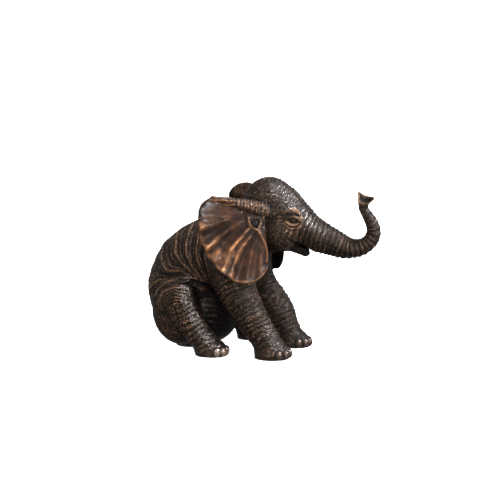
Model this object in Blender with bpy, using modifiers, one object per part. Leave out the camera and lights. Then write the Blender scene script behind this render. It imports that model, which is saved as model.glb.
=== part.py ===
"""Sitting elephant calf with its trunk raised, one solid casting that rests on its rump and four feet.

The calf faces +X and +Y is its left side. Places and radii of the figure are shares of its height,
written in 126ths of it, so that one share is a millimetre on the calf of HEIGHT as it stands here.
The head has a frame of its own: x ahead of the neck, y to its left and z above the ground.
"""
import math

import bmesh
import bpy
import numpy as np
from mathutils import Matrix, Vector

# Driving sizes, in metres
HEIGHT = 0.126
EAR_THICKNESS = 0.0026

# One share of the figure's proportions
SHARE = HEIGHT / 126

# Fineness of the skins and of the cast solid
BLOCK_VOXEL = 1.7
BLOCK_EASING = 9
SKIN_VOXEL = 0.85
SKIN_EASING = 2
SKIN_TRIANGLES = 9400
CREASE_ANGLE = math.radians(50)

# Body: x, z, half width across, half depth along the path's normal
TORSO = (
    (-30, -6.1, 13, 11),
    (-33, 8.2, 23, 17.5),
    (-35, 24.5, 32.5, 26.5),
    (-36.3, 43.9, 36.5, 31.8),
    (-27.5, 59.2, 36, 31.5),
    (-12, 70.4, 33, 28.5),
    (5, 79.2, 27, 24.2),
    (18, 89.8, 20, 19.5),
    (30, 97.9, 14, 14),
)

# Head and jaw in the head's frame: x, z, half width, half depth
NECK = Vector((25, 0, 0))
HEAD_YAW = math.radians(7)
HEAD = (
    (-14, 101, 13, 13),
    (-4, 103, 17.5, 20),
    (8, 100.7, 18.5, 21.6),
    (20, 94.5, 16, 16.8),
    (31, 87.6, 13.5, 13.1),
    (41, 83.2, 12, 11.4),
    (50, 80.1, 10.2, 9.6),
)
JAW = (
    (0, 86.5, 12, 12),
    (10, 82, 10.5, 10.5),
    (19, 78.2, 8, 6.3),
    (26, 73.8, 5.6, 3.8),
    (31.5, 69.8, 3.4, 2.4),
)

# Trunk: x, z, radius, in the head's frame
TRUNK = (
    (46, 81.4, 10.4),
    (50.3, 79.8, 9.8),
    (57.4, 77.1, 8.6),
    (63, 76.4, 7.3),
    (69.5, 77.4, 6.4),
    (75.3, 81.2, 5.8),
    (78.6, 87.7, 5.4),
    (76.8, 95.4, 4.9),
    (71.8, 103, 4),
    (70.2, 107, 3.6),
)
# The bell at the trunk's tip: x, z, half width, half depth
TIP = (
    (70.8, 104, 3.4, 3.4),
    (70.6, 108.2, 3.7, 3.8),
    (71.4, 112.2, 4.6, 5),
    (72.6, 115.3, 5.2, 6),
)

# Legs: x, y, z, radius
LEGS = {
    "near_front": ((2, -20, 71.4, 17), (8, -24, 57.1, 16), (15, -26, 43.5, 13.6),
                   (21.5, -26, 33, 12.2), (27, -26, 24, 11.4), (34, -26, 14.8, 10.4),
                   (38.5, -26, 7.7, 10.6), (40, -26, -3.1, 12.2)),
    "far_front": ((-1, 18, 71.4, 16), (4, 20, 57.1, 15), (10.5, 21, 43.5, 13.2),
                  (18.8, 21, 33, 13.3), (25.5, 21, 24, 12.8), (30.5, 21, 14.8, 10.8),
                  (34.5, 21, 7.7, 10.4), (36.5, 21, -3.1, 12)),
    "near_hind": ((-36, -28, 38.8, 15), (-28, -36, 41.8, 13), (-22, -37, 30.6, 10.8),
                  (-14.5, -37, 17.9, 9.2), (-7.5, -36, 9.2, 9.4), (-2.5, -35, -3.1, 10.8)),
    "far_hind": ((-36, 28, 38.8, 15), (-28, 36, 41.8, 13), (-22, 37, 30.6, 10.8),
                 (-14.5, 37, 17.9, 9.2), (-7.5, 36, 9.2, 9.4), (-2.5, 35, -3.1, 10.8)),
}

# Feet: centre, half sizes, and the bearings of the nails in degrees from straight ahead
FEET = {
    "near_front_foot": ((40.9, -26, 3.1), (13.5, 12.2, 9.2), (-46, -17, 13, 44)),
    "far_front_foot": ((38, 21, 3.1), (13.5, 12, 9.2), (-53, -24, 6, 38)),
    "near_hind_foot": ((-2.3, -35.5, 3.1), (12.6, 10.8, 9.2), (-46, -20, 6, 34)),
    "far_hind_foot": ((-2.3, 35.5, 3.1), (12.6, 10.8, 9.2), (-34, -6, 20, 46)),
}
NAIL = (1.8, 2.4, 3.1)
NAIL_HEIGHT = 3.8
NAIL_SINK = 0.93

# Round masses: centre and half sizes along x, y, z
MASSES = {
    "near_haunch": ((-34.5, -21, 28), (22.5, 17, 25.5)),
    "far_haunch": ((-34.5, 21, 28), (22.5, 17, 25.5)),
    "belly": ((-22, 0, 31.6), (25, 27, 30.6)),
    "chest": ((12, 0, 63.2), (15, 19, 20.4)),
}
HEAD_MASSES = {
    "cranium": ((2, 0, 105.6), (20, 19, 20.9)),
    "near_cheek": ((13, -8, 87.7), (15, 10.5, 13.3)),
    "far_cheek": ((13, 8, 87.7), (15, 10.5, 13.3)),
    "near_lids": ((22, -12.8, 97), (6, 5.4, 5.4)),
    "far_lids": ((22, 12.8, 97), (6, 5.4, 5.4)),
}
# Cut out of the head: centre, half sizes, and how far the nose end is tipped down in degrees
HOLLOWS = {
    "mouth": ((29.5, 0, 76.6), (9.5, 14, 2.1), 37),
    "near_socket": ((22.9, -18.7, 96.2), (4.2, 4.6, 2.9), 10),
    "far_socket": ((22.9, 18.7, 96.2), (4.2, 4.6, 2.9), 10),
}
# Set on the head after that, by the same rows
EYE_PARTS = {
    "near_eye": ((22.9, -13.4, 96.1), (2.6, 2.6, 2.2), 0),
    "far_eye": ((22.9, 13.4, 96.1), (2.6, 2.6, 2.2), 0),
    "near_brow": ((22.6, -14.2, 101.2), (6, 2.6, 1.7), 12),
    "far_brow": ((22.6, 14.2, 101.2), (6, 2.6, 1.7), 12),
}
TONGUE = ((28, 0, 75.3), (4.6, 5.5, 2.4), 37)
TIP_HOLLOW = ((73.2, -1.4, 117.8), (4, 3.9, 6.6), 23)

# Ears: side, sweep back and lean out in degrees, and the rim as angle in degrees and radius
EARS = {
    "near_ear": (-1, 38, 25, ((22, 44.5), (11, 49.7), (-8, 48), (-40, 46.8), (-72, 49.5),
                              (-86, 49), (-95, 45.5), (-102, 39), (-105, 30))),
    "far_ear": (1, 18, 12, ((50, 26), (40, 35), (24, 44), (6, 47), (-20, 47), (-50, 46),
                            (-74, 45), (-87, 43.5), (-94, 36), (-98, 28))),
}
# The root's middle in the head's frame, and its length
EAR_ROOT = Vector((4, 19, 99.2))
EAR_ROOT_LENGTH = 16
EAR_CUP = 5
EAR_FOLDS = 5
EAR_FOLD_DEPTH = 1.8
# The rolled upper edge of an ear: share of the ear's breadth, radius
EAR_ROLL = ((0, 4.2), (0.25, 4), (0.5, 3.2), (0.75, 2.2), (0.95, 1.4))

# Tail, round the rump to the calf's left: x, y, z, radius
TAIL = (
    (-59, 3, 46, 3.2),
    (-63, 4, 35, 2.6),
    (-60.5, 6, 21, 2.3),
    (-53, 10, 10, 2.2),
    (-46.5, 17, 5, 2.3),
    (-42, 25, 4.6, 2.5),
)

# Rings of the trunk: pitch, depth, where they start along it, and the plain stretch before its tip
RING_PITCH = 3.6
RING_DEPTH = 0.7
RING_START = 14
RING_END = 6
# Folds of the flank: middle of their arcs, radius where they gather, pitch behind and below that
# middle, depth, nearest and farthest arc, and how low they come
FLANK_CENTRE = (8.5, 87.5)
FLANK_GATHER = 33
FLANK_PITCH = (7.5, 4.4)
FLANK_TURN = (0, 75)
FLANK_DEPTH = 0.9
FLANK_REACH = (26, 62)
FLANK_FOOT = 38
# Thigh: middle of the knee's arcs, their pitch, depth and innermost radius
KNEE_CENTRE = (-25, 29.5)
KNEE_PITCH = 4
KNEE_DEPTH = 0.5
KNEE_HUB = 4
# The deep crease round the thigh: radius about the knee, depth, breadth, and how far out it starts
THIGH_CREASE = 21
THIGH_CREASE_DEPTH = 1.8
THIGH_CREASE_BREADTH = 1.4
THIGH_INSIDE = 16
# Creases round the front legs, between the ankle and the shoulder
LEG_PITCH = 5
LEG_DEPTH = 0.5
LEG_REACH = (6, 60)
# Carving fades out over this length, and on a limb between these shares of its radius
FADE_LENGTH = 6
ON_LIMB = (1.15, 1.35)
# Carving of the flank and thigh fades in where the skin turns this far to the side
SIDEWAYS = (0.25, 0.6)


def smooth_rows(stations, steps):
    """Rows along a Catmull-Rom curve through the stations, with steps rows from each to the next."""
    rows = np.array(stations, float)
    ends = np.vstack((2 * rows[0] - rows[1], rows, 2 * rows[-1] - rows[-2]))
    t = np.linspace(0, 1, steps, endpoint=False)[:, None]
    spans = []
    for a, b, c, d in zip(ends, ends[1:], ends[2:], ends[3:]):
        bend, twist = 2 * a - 5 * b + 4 * c - d, 3 * b - a - 3 * c + d
        spans.append(0.5 * (2 * b + (c - a) * t + bend * t**2 + twist * t**3))
    return np.vstack((*spans, rows[-1:]))


def new_object(name, mesh, collection):
    obj = bpy.data.objects.new(name, mesh)
    collection.objects.link(obj)
    return obj


def from_bmesh(mesh, collection, name):
    """The edit mesh as an object with its faces turned outward."""
    bmesh.ops.recalc_face_normals(mesh, faces=mesh.faces)
    data = bpy.data.meshes.new(name)
    mesh.to_mesh(data)
    mesh.free()
    return new_object(name, data, collection)


def evaluated_mesh(obj):
    """The object's mesh with its modifiers, in world space."""
    bpy.context.view_layer.update()
    graph = bpy.context.evaluated_depsgraph_get()
    mesh = bpy.data.meshes.new_from_object(obj.evaluated_get(graph))
    mesh.transform(obj.matrix_world)
    return mesh


def finished(obj, collection, name):
    """A plain mesh object made from this one with its modifiers, in its place."""
    done = new_object(name, evaluated_mesh(obj), collection)
    bpy.data.objects.remove(obj)
    return done


def loft(stations, collection, name, sides=36):
    """Oval sections on a path in the plane y = 0. A row is x, z, half width and half depth."""
    rows = smooth_rows(stations, 5) * SHARE
    along = np.gradient(rows[:, :2], axis=0)
    along /= np.linalg.norm(along, axis=1)[:, None]
    angle = np.linspace(0, 2 * math.pi, sides, endpoint=False)
    depth = rows[:, 3:4] * np.sin(angle)
    points = np.stack((
        rows[:, 0:1] - along[:, 1:2] * depth,
        rows[:, 2:3] * np.cos(angle),
        rows[:, 1:2] + along[:, 0:1] * depth,
    ), axis=2).reshape(-1, 3)
    mesh = bmesh.new()
    verts = [mesh.verts.new(p) for p in points]
    rings = [verts[i:i + sides] for i in range(0, len(verts), sides)]
    for low, high in zip(rings, rings[1:]):
        for i in range(sides):
            j = (i + 1) % sides
            mesh.faces.new((low[i], low[j], high[j], high[i]))
    mesh.faces.new(rings[0][::-1])
    mesh.faces.new(rings[-1])
    return from_bmesh(mesh, collection, name)


def limb(stations, collection, name):
    """A round limb: a poly curve whose bevel follows each point's radius. A row is x, y, z and radius."""
    curve = bpy.data.curves.new(name, "CURVE")
    curve.dimensions = "3D"
    curve.bevel_depth = SHARE
    curve.bevel_resolution = 6
    curve.use_fill_caps = True
    rows = smooth_rows(stations, 4)
    spline = curve.splines.new("POLY")
    spline.points.add(len(rows) - 1)
    for point, (x, y, z, radius) in zip(spline.points, rows):
        point.co = (x * SHARE, y * SHARE, z * SHARE, 1)
        point.radius = radius
    tube = new_object(name + "_line", curve, collection)
    mesh = bmesh.new()
    mesh.from_mesh(evaluated_mesh(tube))
    bpy.data.objects.remove(tube)
    bmesh.ops.remove_doubles(mesh, verts=mesh.verts, dist=0.02 * SHARE)
    return from_bmesh(mesh, collection, name)


def ball(row, collection, name):
    """An ellipsoid by its centre, its half sizes, and the degrees its +x end is tipped down."""
    centre, half_sizes, tip = row
    mesh = bmesh.new()
    scale = Matrix.Diagonal(Vector(half_sizes) * SHARE).to_4x4()
    turn = Matrix.Rotation(math.radians(tip), 4, "Y")
    place = Matrix.Translation(Vector(centre) * SHARE)
    bmesh.ops.create_uvsphere(mesh, u_segments=32, v_segments=20, radius=1, matrix=place @ turn @ scale)
    return from_bmesh(mesh, collection, name)


def on_head(obj):
    """Turns a piece of the head's frame to where the head points."""
    obj.data.transform(Matrix.Translation(NECK * SHARE) @ Matrix.Rotation(HEAD_YAW, 4, "Z"))
    return obj


def nail(centre, half_sizes, bearing, collection, name):
    """One toenail, standing out of the foot's side on the given bearing."""
    mesh = bmesh.new()
    turn = Matrix.Rotation(math.radians(bearing), 4, "Z")
    out = turn @ Vector((1, 0, 0))
    spot = Vector((centre[0] + half_sizes[0] * NAIL_SINK * out.x,
                   centre[1] + half_sizes[1] * NAIL_SINK * out.y, NAIL_HEIGHT))
    scale = Matrix.Diagonal(Vector(NAIL) * SHARE).to_4x4()
    bmesh.ops.create_uvsphere(mesh, u_segments=16, v_segments=12, radius=1,
                              matrix=Matrix.Translation(spot * SHARE) @ turn @ scale)
    return from_bmesh(mesh, collection, name)


def ear(side, sweep, lean, rim_rows, collection, name):
    """A fan from the ear's root to its rim, cupped and folded, with its wall and its rolled upper edge."""
    rim = smooth_rows(rim_rows, 12)
    sweep, lean = math.radians(sweep), math.radians(lean)
    back = Vector((-math.cos(sweep), side * math.sin(sweep), 0))
    down = Vector((0, side * math.sin(lean), -math.cos(lean)))
    face = (down.cross(back) * side).normalized()
    root = Vector((EAR_ROOT.x, side * EAR_ROOT.y, EAR_ROOT.z))

    def spot(t, v):
        """A point of the fan, t from the upper edge to the lower one and v from the root to the rim."""
        place = t * (len(rim) - 1)
        angle, radius = (np.interp(place, range(len(rim)), rim[:, k]) for k in (0, 1))
        angle = math.radians(angle)
        start = root + down * EAR_ROOT_LENGTH * (t - 0.5)
        edge = root + back * radius * math.cos(angle) - down * radius * math.sin(angle)
        lift = EAR_CUP * math.sin(math.pi * v * 0.5) ** 2 * (1 - v * 0.6)
        lift += EAR_FOLD_DEPTH * v**1.5 * math.sin(2 * math.pi * EAR_FOLDS * t)
        return (start.lerp(edge, v) - face * lift) * SHARE

    mesh = bmesh.new()
    bmesh.ops.create_grid(mesh, x_segments=28, y_segments=60, size=0.5)
    for vert in mesh.verts:
        vert.co = spot(vert.co.y + 0.5, vert.co.x + 0.5)
    sheet = from_bmesh(mesh, collection, name + "_sheet")
    wall = sheet.modifiers.new("wall", "SOLIDIFY")
    wall.thickness = EAR_THICKNESS
    wall.offset = 0
    roll = [(*(spot(0.02, v) / SHARE - face * radius * 0.4), radius) for v, radius in EAR_ROLL]
    return [on_head(finished(sheet, collection, name)), on_head(limb(roll, collection, name + "_roll"))]


def cut_by(obj, cutter):
    """A Boolean difference; the cutter is kept out of renders."""
    cut = obj.modifiers.new("cut_" + cutter.name, "BOOLEAN")
    cut.operation = "DIFFERENCE"
    cut.solver = "EXACT"
    cut.object = cutter
    cutter.hide_render = True
    cutter.display_type = "WIRE"


def fused(pieces, collection, name):
    """The pieces in one mesh, still overlapping."""
    mesh = bmesh.new()
    for piece in pieces:
        mesh.from_mesh(piece.data)
        bpy.data.objects.remove(piece)
    data = bpy.data.meshes.new(name)
    mesh.to_mesh(data)
    mesh.free()
    return new_object(name, data, collection)


def skinned(obj, voxel, passes, name, collection):
    """One skin round everything in the object, with its creases eased."""
    remesh = obj.modifiers.new("skin", "REMESH")
    remesh.mode = "VOXEL"
    remesh.voxel_size = voxel * SHARE
    ease = obj.modifiers.new("ease", "SMOOTH")
    ease.factor = 0.5
    ease.iterations = round(passes)
    return finished(obj, collection, name)


def body_blocks(collection):
    """The big forms, before the skin joins them."""
    pieces = [loft(TORSO, collection, "torso")]
    pieces += [limb(rows, collection, name) for name, rows in LEGS.items()]
    pieces += [ball((*row, 0), collection, name) for name, row in MASSES.items()]
    pieces += [ball((centre, sizes, 0), collection, name) for name, (centre, sizes, _) in FEET.items()]
    trunk = [(x, 0, z, radius) for x, z, radius in TRUNK]
    head = [loft(HEAD, collection, "head"), loft(JAW, collection, "jaw"), limb(trunk, collection, "trunk")]
    head += [ball((*row, 0), collection, name) for name, row in HEAD_MASSES.items()]
    return pieces + [on_head(piece) for piece in head]


def details(part, cutters):
    """What is set on the eased body: trunk tip, eyes, brows, ears, nails and tail."""
    tip = on_head(loft(TIP, part, "tip"))
    cut_by(tip, on_head(ball(TIP_HOLLOW, cutters, "tip_hollow")))
    pieces = [finished(tip, part, "hollow_tip"), limb(TAIL, part, "tail")]
    pieces += [on_head(ball(row, part, name)) for name, row in EYE_PARTS.items()]
    pieces += [on_head(ball(TONGUE, part, "tongue"))]
    for name, pose in EARS.items():
        pieces += ear(*pose, part, name)
    for name, (centre, sizes, bearings) in FEET.items():
        pieces += [nail(centre, sizes, bearing, part, name + "_nail") for bearing in bearings]
    return pieces


def groove(phase):
    """0 on the crests and 1 in the furrows of a wave, one furrow to each whole number."""
    return (0.5 + 0.5 * np.cos(2 * np.pi * phase)) ** 2


def fade(value, low, high):
    """0 below low, 1 above high, smooth between them."""
    t = np.clip((value - low) / (high - low), 0, 1)
    return t * t * (3 - 2 * t)


def between(value, low, high):
    """1 from low to high, fading out inside both."""
    return fade(value, low, low + FADE_LENGTH) * (1 - fade(value, high - FADE_LENGTH, high))


def along_limb(points, path):
    """For each point its distance along the path, and 1 on the limb that the path's radii give."""
    centres, radii = path[:, :-1], path[:, -1]
    steps = np.gradient(centres, axis=0)
    steps /= np.linalg.norm(steps, axis=1)[:, None]
    length = np.concatenate(((0,), np.cumsum(np.linalg.norm(np.diff(centres, axis=0), axis=1))))
    nearest = np.argmin(((points[:, None] - centres) ** 2).sum(axis=2), axis=1)
    offset = points - centres[nearest]
    place = length[nearest] + (offset * steps[nearest]).sum(axis=1)
    return place, 1 - fade(np.linalg.norm(offset, axis=1) / radii[nearest], *ON_LIMB)


def trunk_rings(points):
    """Rings across the trunk, from the brow to the plain tip."""
    turn = np.array(Matrix.Rotation(HEAD_YAW, 3, "Z"))
    on_face = (points - np.array(NECK)) @ turn
    stations = [(x, 0, z, depth) for x, z, _, depth in HEAD[3:6]]
    stations += [(x, 0, z, radius) for x, z, radius in TRUNK[1:]]
    place, on_trunk = along_limb(on_face, smooth_rows(stations, 12))
    reach = between(place, RING_START, place.max() - RING_END)
    return RING_DEPTH * groove(place / RING_PITCH) * on_trunk * reach


def flank_folds(points, sideways):
    """Folds that hang from the back and gather behind the elbow, on arcs about a middle in the shoulder."""
    behind, below = FLANK_CENTRE[0] - points[:, 0], FLANK_CENTRE[1] - points[:, 2]
    reach = np.hypot(behind, below)
    swing = fade(np.degrees(np.arctan2(below, behind)), *FLANK_TURN)
    pitch = FLANK_PITCH[0] + (FLANK_PITCH[1] - FLANK_PITCH[0]) * swing
    folds = FLANK_DEPTH * groove((reach - FLANK_GATHER) / pitch) * sideways
    folds *= between(reach, *FLANK_REACH) * fade(behind, 0, FADE_LENGTH)
    folds *= fade(points[:, 2], FLANK_FOOT, FLANK_FOOT + FADE_LENGTH)
    return folds * fade(from_knee(points), THIGH_CREASE, THIGH_CREASE + FADE_LENGTH)


def from_knee(points):
    return np.hypot(points[:, 0] - KNEE_CENTRE[0], points[:, 2] - KNEE_CENTRE[1])


def thigh_arcs(points, sideways):
    """Arcs behind the knee, and the deep crease over the thigh."""
    radius = from_knee(points)
    arcs = KNEE_DEPTH * groove(radius / KNEE_PITCH) * sideways * between(radius, KNEE_HUB, THIGH_CREASE)
    arcs *= fade(KNEE_CENTRE[0] - points[:, 0], 0, FADE_LENGTH)
    crease = THIGH_CREASE_DEPTH * np.exp(-((radius - THIGH_CREASE) / THIGH_CREASE_BREADTH) ** 2)
    over = fade(points[:, 2] - KNEE_CENTRE[1], 0, FADE_LENGTH)
    return arcs + crease * over * fade(np.abs(points[:, 1]), THIGH_INSIDE, THIGH_INSIDE + FADE_LENGTH)


def leg_creases(points):
    """Creases round the front legs."""
    depth = np.zeros(len(points))
    for name in ("near_front", "far_front"):
        place, on_leg = along_limb(points, smooth_rows(LEGS[name], 8))
        depth += LEG_DEPTH * groove(place / LEG_PITCH) * on_leg * between(points[:, 2], *LEG_REACH)
    return depth


def carve(obj):
    """Sinks the creases into the skin, and centres the calf over the middle of its own ground plan."""
    mesh = obj.data
    points, normals = (np.empty(3 * len(mesh.vertices)) for _ in range(2))
    mesh.vertices.foreach_get("co", points)
    mesh.vertices.foreach_get("normal", normals)
    points, normals = points.reshape(-1, 3), normals.reshape(-1, 3)
    places = points / SHARE
    sideways = fade(np.abs(normals[:, 1]), *SIDEWAYS)
    depth = trunk_rings(places) + leg_creases(places)
    depth += flank_folds(places, sideways) + thigh_arcs(places, sideways)
    points -= normals * depth[:, None] * SHARE
    points[:, :2] -= (points[:, :2].min(axis=0) + points[:, :2].max(axis=0)) / 2
    mesh.vertices.foreach_set("co", points.ravel())
    mesh.update()


def ground(collection):
    """A box whose top is the ground, for cutting the soles and the seat flat."""
    reach = 3 * HEIGHT
    mesh = bmesh.new()
    bmesh.ops.create_cube(mesh, size=reach, matrix=Matrix.Translation((0, 0, -reach / 2)))
    return from_bmesh(mesh, collection, "ground")


def bronze():
    """Dark cold-cast bronze."""
    material = bpy.data.materials.new("cold_cast_bronze")
    material.use_nodes = True
    shader = material.node_tree.nodes["Principled BSDF"]
    shader.inputs["Base Color"].default_value = (0.12, 0.065, 0.035, 1)
    shader.inputs["Metallic"].default_value = 0.8
    shader.inputs["Roughness"].default_value = 0.38
    return material


def main():
    for obj in list(bpy.data.objects):
        bpy.data.objects.remove(obj)
    part = bpy.data.collections.new("elephant_figurine")
    cutters = bpy.data.collections.new("cutters")
    for collection in (part, cutters):
        bpy.context.scene.collection.children.link(collection)

    eased = skinned(fused(body_blocks(part), part, "blocks"), BLOCK_VOXEL, BLOCK_EASING, "eased", part)
    for name, row in HOLLOWS.items():
        cut_by(eased, on_head(ball(row, cutters, name)))
    body = finished(eased, part, "body")
    elephant = skinned(fused([body] + details(part, cutters), part, "joined"), SKIN_VOXEL, SKIN_EASING,
                       "elephant", part)
    carve(elephant)

    thin = elephant.modifiers.new("thin", "DECIMATE")
    thin.ratio = SKIN_TRIANGLES / (2 * len(elephant.data.polygons))
    cut_by(elephant, ground(cutters))
    elephant.data.materials.append(bronze())
    elephant.data.shade_smooth()
    elephant.data.set_sharp_from_angle(angle=CREASE_ANGLE)


main()
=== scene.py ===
# A sitting elephant calf with its trunk raised, cast in one piece: dark bronze, rubbed back to
# copper and gold on its folds. The calf faces +X. Sizes are in millimetres until a mesh is made.
import math

import bmesh
import bpy
import numpy as np
from mathutils import Matrix, Vector


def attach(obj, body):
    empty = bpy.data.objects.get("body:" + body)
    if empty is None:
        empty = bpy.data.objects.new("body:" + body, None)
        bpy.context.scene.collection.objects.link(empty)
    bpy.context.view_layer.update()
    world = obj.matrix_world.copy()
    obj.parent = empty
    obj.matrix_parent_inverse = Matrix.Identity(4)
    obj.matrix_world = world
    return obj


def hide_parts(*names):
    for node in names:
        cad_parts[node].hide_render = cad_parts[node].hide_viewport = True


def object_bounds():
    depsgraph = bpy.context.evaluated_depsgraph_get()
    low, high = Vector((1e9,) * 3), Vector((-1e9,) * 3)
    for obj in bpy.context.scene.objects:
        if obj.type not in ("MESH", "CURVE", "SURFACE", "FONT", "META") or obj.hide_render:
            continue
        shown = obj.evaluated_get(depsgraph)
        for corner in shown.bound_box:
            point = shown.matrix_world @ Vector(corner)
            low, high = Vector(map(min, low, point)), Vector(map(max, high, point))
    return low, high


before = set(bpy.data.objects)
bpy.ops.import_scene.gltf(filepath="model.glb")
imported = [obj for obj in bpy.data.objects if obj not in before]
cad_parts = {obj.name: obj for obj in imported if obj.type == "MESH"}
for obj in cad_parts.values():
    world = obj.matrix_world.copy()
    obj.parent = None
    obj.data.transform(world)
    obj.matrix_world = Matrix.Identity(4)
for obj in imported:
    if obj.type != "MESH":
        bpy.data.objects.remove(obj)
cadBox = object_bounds()
mm = 0.001
print("frame loaded")


# ---- shared shapes

def curveThrough(stations, steps):
    # rows on a curve through the stations: between b and c it is half of
    # 2b + (c - a)t + (2a - 5b + 4c - d)t2 + (3b - a - 3c + d)t3
    rows = np.array(stations, float)
    ends = np.vstack((2 * rows[0] - rows[1], rows, 2 * rows[-1] - rows[-2]))
    a, b, c, d = (ends[k:len(ends) - 3 + k, None] for k in range(4))
    t = np.linspace(0, 1, steps, endpoint=False)[None, :, None]
    spans = 0.5 * (2 * b + (c - a) * t + (2 * a - 5 * b + 4 * c - d) * t**2 + (3 * b - a - 3 * c + d) * t**3)
    return np.vstack((spans.reshape(-1, rows.shape[1]), rows[-1:]))


def unit(rows):
    return rows / np.linalg.norm(rows, axis=-1, keepdims=True)


def carried(rows, sides=40):
    # an oval carried along a path: centre + across * half width * cos + over * half depth * sin;
    # a row is x, y, z, half width, half depth
    centre = rows[:, :3]
    ahead = unit(np.gradient(centre, axis=0))
    across = unit(np.array((0, 1, 0)) - ahead * ahead[:, 1:2])
    over = np.cross(ahead, across)
    turn = np.linspace(0, 2 * np.pi, sides, endpoint=False)[None, :, None]
    return (centre[:, None] + across[:, None] * rows[:, None, 3:4] * np.cos(turn)
            + over[:, None] * rows[:, None, 4:5] * np.sin(turn))


def oval(centre, halfSizes, sides=32, rings=17):
    # a ball pulled to three half sizes: rings of radius sin, at height cos
    down = np.linspace(0.04, np.pi - 0.04, rings)[:, None]
    turn = np.linspace(0, 2 * np.pi, sides, endpoint=False)[None, :]
    ball = np.stack((np.sin(down) * np.cos(turn), np.sin(down) * np.sin(turn), np.cos(down) + 0 * turn), axis=2)
    return np.array(centre) + ball * np.array(halfSizes)


def closedSkin(grid, count):
    # rows of a closed profile joined ring to ring, with a pole at each end; corners count on from count
    rows, sides, _ = grid.shape
    points = np.vstack((grid.reshape(-1, 3), grid[0].mean(axis=0), grid[-1].mean(axis=0)))
    i = np.arange((rows - 1) * sides)
    j = i - i % sides + (i + 1) % sides
    quads = np.stack((i, j, j + sides, i + sides), axis=1)
    k = np.arange(sides)
    pole, last = rows * sides, (rows - 1) * sides
    lids = np.vstack((np.stack((0 * k + pole, (k + 1) % sides, k), axis=1),
                      np.stack((0 * k + pole + 1, last + k, last + (k + 1) % sides), axis=1)))
    return points, quads + count, lids + count


def joined(grids, name):
    # every closed skin in one mesh, in metres, still overlapping
    points, faces, count = [], [], 0
    for grid in grids:
        spots, quads, lids = closedSkin(grid, count)
        points.append(spots)
        faces += quads.tolist() + lids.tolist()
        count += len(spots)
    mesh = bpy.data.meshes.new(name)
    mesh.from_pydata((np.vstack(points) * mm).tolist(), [], faces)
    return placed(mesh, name)


def placed(mesh, name):
    piece = bpy.data.objects.new(name, mesh)
    bpy.context.scene.collection.objects.link(piece)
    return piece


def settled(piece, name):
    # the piece as its modifiers leave it, made plain
    bpy.context.view_layer.update()
    graph = bpy.context.evaluated_depsgraph_get()
    mesh = bpy.data.meshes.new_from_object(piece.evaluated_get(graph))
    bpy.data.objects.remove(piece)
    return placed(mesh, name)


def oneSkin(piece, voxel, passes, name):
    # one skin round everything that overlaps, its creases eased
    skin = piece.modifiers.new("skin", "REMESH")
    skin.mode = "VOXEL"
    skin.voxel_size = voxel * mm
    easing = piece.modifiers.new("easing", "SMOOTH")
    easing.factor = 0.5
    easing.iterations = passes
    return settled(piece, name)


# ---- shared patterns

def rise(value, low, high):
    # 0 below low, 1 above high, 3t2 - 2t3 between
    t = np.clip((value - low) / (high - low), 0, 1)
    return t * t * (3 - 2 * t)


def within(value, low, high, soft):
    return rise(value, low - soft / 2, low + soft / 2) * (1 - rise(value, high - soft / 2, high + soft / 2))


def bump(distance, breadth):
    return np.exp(-(distance / breadth) ** 2)


def crests(phase, sharp=1.6):
    # 1 at whole numbers, falling to 0 half way between
    return (0.5 + 0.5 * np.cos(2 * np.pi * phase)) ** sharp


def share(cell, seed):
    # a fixed share from 0 to 1 for each whole-number cell
    mixed = cell[..., 0] * 73856093 ^ cell[..., 1] * 19349663 ^ cell[..., 2] * 83492791 ^ seed * 26544357
    mixed = (mixed ^ (mixed >> 13)) * 1274126177 & 0x7FFFFFFF
    mixed = (mixed ^ (mixed >> 15)) * 668265263 & 0x7FFFFFFF
    return ((mixed >> 8) & 0xFFFF) / 65535


def drift(points, size, seed):
    # smooth noise from -1 to 1: the shares of the eight cell corners, blended
    q = points / size
    base = np.floor(q).astype(np.int64)
    t = q - base
    t = t * t * (3 - 2 * t)
    total = np.zeros(len(points))
    for corner in np.ndindex(2, 2, 2):
        weight = np.where(np.array(corner), t, 1 - t).prod(axis=1)
        total += weight * share(base + np.array(corner), seed)
    return 2 * total - 1


def cracks(points, size, seed):
    # second nearest minus nearest hidden point, one point to a cell: 0 along cracks, near 1 on pads
    q = points / size
    base = np.floor(q).astype(np.int64)
    first, second = np.full(len(points), 9.0), np.full(len(points), 9.0)
    for step in np.ndindex(3, 3, 3):
        cell = base + np.array(step) - 1
        spot = cell + np.stack([share(cell, seed + k) for k in (1, 2, 3)], axis=1)
        away = np.linalg.norm(q - spot, axis=1)
        second = np.minimum(second, np.maximum(first, away))
        first = np.minimum(first, away)
    return second - first


def along(points, rows, reach):
    # how far along the path each point lies, and how far from it in path radii (9 out of reach)
    centre, radius = rows[:, :3], rows[:, 3]
    ahead = unit(np.gradient(centre, axis=0))
    length = np.concatenate(((0,), np.cumsum(np.linalg.norm(np.diff(centre, axis=0), axis=1))))
    place, away = np.zeros(len(points)), np.full(len(points), 9.0)
    low, high = centre.min(axis=0) - reach, centre.max(axis=0) + reach
    near = np.flatnonzero(((points > low) & (points < high)).all(axis=1))
    spots = points[near]
    nearest = np.argmin(((spots[:, None] - centre) ** 2).sum(axis=2), axis=1)
    offset = spots - centre[nearest]
    place[near] = length[nearest] + (offset * ahead[nearest]).sum(axis=1)
    away[near] = np.linalg.norm(offset, axis=1) / radius[nearest]
    return place, away


# ---- body

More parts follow.
